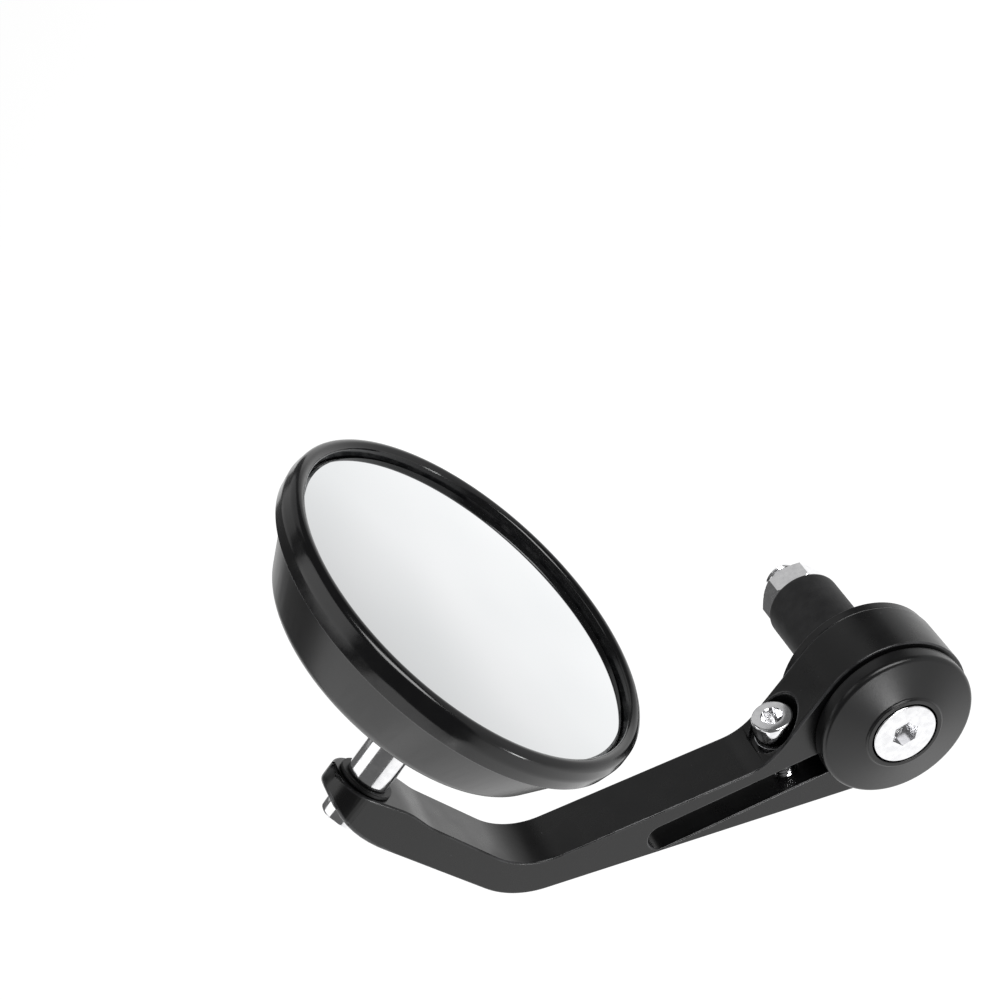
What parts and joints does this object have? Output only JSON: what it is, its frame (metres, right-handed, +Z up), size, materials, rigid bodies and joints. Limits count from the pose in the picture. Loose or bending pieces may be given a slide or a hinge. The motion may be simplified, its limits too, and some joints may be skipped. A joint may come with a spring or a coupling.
{
  "type": "bar-end bicycle mirror, round, left-hand",
  "caption": "Round bar-end mirror: cranked black arm clamped to an expanding bar plug, chromed ball stem and tilting convex glass.",
  "frame": {"origin": "on the axis of the bar plug, at the flange face that butts against the end of the handlebar", "axes": "+X along the bar axis into the handlebar, +Z up with the arm set to rise from the bar end, the glass faces -Y"},
  "size_m": [0.0842, 0.085, 0.1556],
  "materials": {
    "black_arm": "satin black paint",
    "black_cap": "satin black paint",
    "gloss_bezel": "gloss black",
    "mirror": "silvered glass",
    "bright_chrome": "bright chrome plate",
    "zinc_steel": "bright zinc plate",
    "black_rubber": "matt rubber",
    "black_nylon": "matt nylon",
    "white_acetal": "matt acetal"
  },
  "bodies": {
    "plug": {"end_cap": "black_cap", "hub_flange": "black_cap", "centre_bolt": "bright_chrome", "expander_sleeve": "black_rubber"},
    "nut": {"expander_nut": "zinc_steel"},
    "arm": {"arm": "black_arm", "clamp_bolt": "bright_chrome", "clamp_washer": "zinc_steel", "stem_bush": "black_nylon"},
    "stem": {"stem_post": "bright_chrome", "stem_washer": "zinc_steel", "stem_screw": "bright_chrome"},
    "pan": {"ball_seat": "white_acetal"},
    "head": {"head_shell": "black_cap", "bezel_rim": "gloss_bezel", "mirror_glass": "mirror", "glass_pad": "black_rubber", "retainer_plate": "zinc_steel", "retainer_screws": "zinc_steel", "pressure_cup": "white_acetal", "cup_spring": "zinc_steel"}
  },
  "joints": [
    {"name": "nut_draw", "type": "slide", "parent": "plug", "child": "nut", "axis": [1, 0, 0], "range_m": [0, 0.003]},
    {"name": "arm_swing", "type": "hinge", "parent": "plug", "child": "arm", "pos_m": [-0.0083, 0, 0], "axis": [1, 0, 0], "continuous": true},
    {"name": "stem_turn", "type": "hinge", "parent": "arm", "child": "stem", "pos_m": [-0.0083, 0.0574, 0.0913], "axis": [0, 1, 0], "continuous": true},
    {"name": "head_pan", "type": "hinge", "parent": "stem", "child": "pan", "pos_m": [-0.0083, 0.0286, 0.0913], "axis": [0, 0, 1], "range_deg": [-5.6, 24.4]},
    {"name": "head_tilt", "type": "hinge", "parent": "pan", "child": "head", "pos_m": [-0.0083, 0.0286, 0.0913], "axis": [0.9866, -0.1633, 0], "range_deg": [-15, 15]}
  ]
}
